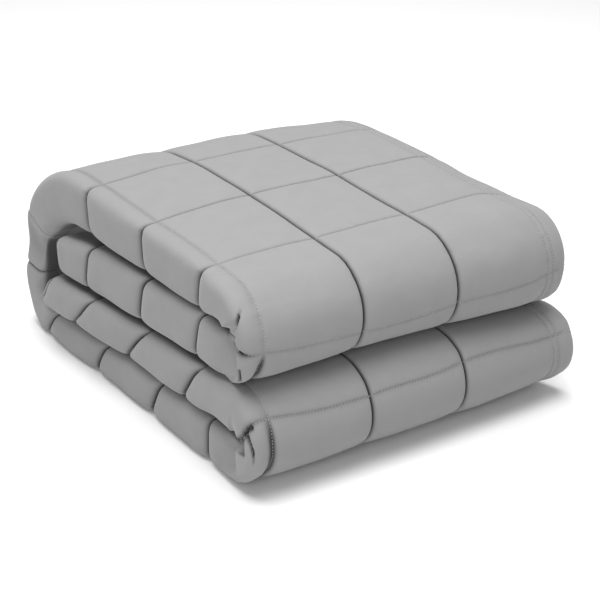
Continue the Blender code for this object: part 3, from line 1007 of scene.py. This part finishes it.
def detail_group():
    """Height and tone of the cloth, from its place and its UV map: the height is the sum of
    puckers, nap and soft noise, each times its own height, and the tone is 1 plus or
    minus a share of both noises."""
    tree = bpy.data.node_groups.new("cloth_detail", "ShaderNodeTree")
    face = tree.interface
    face.new_socket("Place", in_out="INPUT", socket_type="NodeSocketVector")
    face.new_socket("Cloth", in_out="INPUT", socket_type="NodeSocketVector")
    face.new_socket("Height", in_out="OUTPUT", socket_type="NodeSocketFloat")
    face.new_socket("Tone", in_out="OUTPUT", socket_type="NodeSocketFloat")
    given = node(tree, "NodeGroupInput")
    result = node(tree, "NodeGroupOutput")
    split = node(tree, "ShaderNodeSeparateXYZ")
    tree.links.new(given.outputs["Cloth"], split.inputs[0])
    squares, row = split.outputs[0], split.outputs[1]
    from_long = maths(tree, "PINGPONG", squares, 0.5)
    from_cross = maths(tree, "PINGPONG", row, 0.5)
    puckers = maths(tree, "ADD", pucker(tree, row, from_long),
                    pucker(tree, squares, from_cross))
    nap = noise(tree, given.outputs["Place"], NAP_SCALE, NAP_DETAIL)
    soft = noise(tree, given.outputs["Place"], SOFT_SCALE, SOFT_DETAIL)
    height = maths(tree, "ADD", maths(tree, "MULTIPLY", puckers, PUCKER_HEIGHT),
                   maths(tree, "MULTIPLY", nap, NAP_HEIGHT))
    height = maths(tree, "ADD", height, maths(tree, "MULTIPLY", soft, SOFT_HEIGHT))
    tone = maths(tree, "ADD", maths(tree, "MULTIPLY", nap, NAP_TONE),
                 maths(tree, "MULTIPLY", soft, SOFT_TONE))
    tone = maths(tree, "ADD", tone, 1.0 - (NAP_TONE + SOFT_TONE) / 2)
    tree.links.new(height, result.inputs["Height"])
    tree.links.new(tone, result.inputs["Tone"])
    return tree


DETAIL = detail_group()
print("cloth detail:", len(DETAIL.nodes), "nodes")

# %% [markdown]
# Microfibre throws back a faint halo of light where you look along it, which the sheen
# of the Principled shader does. An attribute of the mesh carries painted shade: it darkens
# the cloth's colour in the seams and where layers touch. The thread is smoother and a
# little paler, and a fine noise mottles it.

# %% Materials
CLOTH_GREY, THREAD_GREY = 0.21, 0.275
CLOTH_ROUGHNESS, THREAD_ROUGHNESS = 0.85, 0.6
CLOTH_SHEEN, THREAD_SHEEN = 0.18, 0.1
SHEEN_ROUGHNESS, SPECULAR = 0.45, 0.25
# painted shade: the share of the cloth's grey taken away where the seams and touching layers
# are darkest
SEAM_SHADE = 0.94           # how much of its light a deep seam loses
BUMP_STRENGTH = 0.6
MOTTLE_SCALE = 2600.0       # a metre
MOTTLE_TONE = 0.3           # share of the thread's tone that varies


def principled(name, roughness, sheen):
    """A material, its tree and its shader, with little shine."""
    material = bpy.data.materials.new(name)
    material.use_nodes = True
    shader = material.node_tree.nodes["Principled BSDF"]
    shader.inputs["Roughness"].default_value = roughness
    shader.inputs["Sheen Weight"].default_value = sheen
    shader.inputs["Sheen Roughness"].default_value = SHEEN_ROUGHNESS
    shader.inputs["Specular IOR Level"].default_value = SPECULAR
    return material, material.node_tree, shader


def microfibre():
    """Grey cloth with a bump: its grey times the detail's tone times what the painted shade
    of the seams and touching layers leaves of it."""
    material, tree, shader = principled("grey_microfibre", CLOTH_ROUGHNESS, CLOTH_SHEEN)
    place = node(tree, "ShaderNodeTexCoord")
    cloth = node(tree, "ShaderNodeUVMap", uv_map="cloth")
    detail = node(tree, "ShaderNodeGroup", node_tree=DETAIL)
    tree.links.new(place.outputs["Object"], detail.inputs["Place"])
    tree.links.new(cloth.outputs["UV"], detail.inputs["Cloth"])
    # painted shade in the seams and creases darkens the base colour
    painted_shade = node(tree, "ShaderNodeAttribute", attribute_name="painted_shade")
    left = maths(tree, "SUBTRACT", 1.0, maths(tree, "MULTIPLY", painted_shade.outputs["Fac"],
                                              SEAM_SHADE))
    grey = maths(tree, "MULTIPLY", maths(tree, "MULTIPLY", detail.outputs["Tone"],
                                         CLOTH_GREY), left)
    grey_colour(tree, grey, shader)
    bump = node(tree, "ShaderNodeBump", (("Strength", BUMP_STRENGTH), ("Distance", 1.0)))
    tree.links.new(detail.outputs["Height"], bump.inputs["Height"])
    tree.links.new(bump.outputs["Normal"], shader.inputs["Normal"])
    return material


def thread():
    """Paler polyester thread: its grey times 1 plus or minus a share of a fine noise."""
    material, tree, shader = principled("grey_thread", THREAD_ROUGHNESS, THREAD_SHEEN)
    place = node(tree, "ShaderNodeTexCoord")
    mottle = maths(tree, "MULTIPLY", noise(tree, place.outputs["Object"], MOTTLE_SCALE, 1.0),
                   MOTTLE_TONE)
    tone = maths(tree, "ADD", mottle, 1.0 - MOTTLE_TONE / 2)
    grey_colour(tree, maths(tree, "MULTIPLY", tone, THREAD_GREY), shader)
    return material


GREY_MICROFIBRE, GREY_THREAD = microfibre(), thread()
print("materials:", GREY_MICROFIBRE.name, GREY_THREAD.name)

# %% [markdown]
# Two pieces now ride on the imported model. The quilted cloth, slack as a weighted blanket
# is, replaces the plain solid, which is hidden. The stitches ride along with it.

# %% Dress the model
blanket = add_piece("quilted_blanket", blanket_mesh, GREY_MICROFIBRE)
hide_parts(NODE)
seam_stitches = add_piece("seam_stitches", thread_mesh, GREY_THREAD)
print("dressed:", blanket.name, "and", seam_stitches.name)

# %% [markdown]
# ## Studio
#
# The photograph is a cut-out on white with soft light from above. A pale floor, a big
# soft lamp overhead, a weaker one from the front left and an even pale world give the
# same modelling.

# %% Floor
FLOOR_RADIUS, FLOOR_POINTS = 6.0, 96
FLOOR_GREY = 0.76


def add_floor():
    """A large pale disc: the radius times the cosine and sine of an angle that goes round."""
    angle = np.linspace(0, 2 * np.pi, FLOOR_POINTS, endpoint=False)
    ring = FLOOR_RADIUS * np.column_stack([np.cos(angle), np.sin(angle), 0 * angle])
    mesh = bpy.data.meshes.new("floor")
    mesh.from_pydata(ring, [], [list(range(len(ring)))])
    floor = bpy.data.objects.new("floor", mesh)
    material = bpy.data.materials.new("pale_floor")
    material.use_nodes = True
    shader = material.node_tree.nodes["Principled BSDF"]
    shader.inputs["Base Color"].default_value = (FLOOR_GREY, FLOOR_GREY, FLOOR_GREY, 1)
    shader.inputs["Roughness"].default_value = 0.9
    shader.inputs["Specular IOR Level"].default_value = 0.0
    mesh.materials.append(material)
    bpy.context.scene.collection.objects.link(floor)
    return floor


floor = add_floor()
print("floor, metres across:", round(floor.dimensions.x, 1))

# %% [markdown]
# Large lamps make soft shadows. Each one is turned to face the middle of the blanket. The
# world lights what the lamps miss, evenly from all sides.

# %% Lamps and world
LAMPS = (
    # name          place               size   power in watts
    ("overhead",    (-0.2, -0.1, 2.6),  2.4,   122),
    ("left_fill",   (-1.8, -2.1, 1.3),  1.2,   34),
)
AIM = (0.0, 0.0, 0.1)
SKY_STRENGTH = 0.36


def add_lamp(name, place, size, power):
    """A square area lamp at a place, turned to face the point that all lamps aim at."""
    lamp = bpy.data.objects.new(name, bpy.data.lights.new(name, "AREA"))
    lamp.data.size, lamp.data.energy = size, power
    lamp.location = place
    away = Vector(place) - Vector(AIM)
    lamp.rotation_euler = away.to_track_quat("Z", "Y").to_euler()
    bpy.context.scene.collection.objects.link(lamp)


for lamp in LAMPS:
    add_lamp(*lamp)
world = bpy.data.worlds.new("pale_world")
world.use_nodes = True
sky = world.node_tree.nodes["Background"]
sky.inputs["Color"].default_value = (1, 1, 1, 1)
sky.inputs["Strength"].default_value = SKY_STRENGTH
bpy.context.scene.world = world
bpy.context.scene.view_settings.view_transform = "Standard"
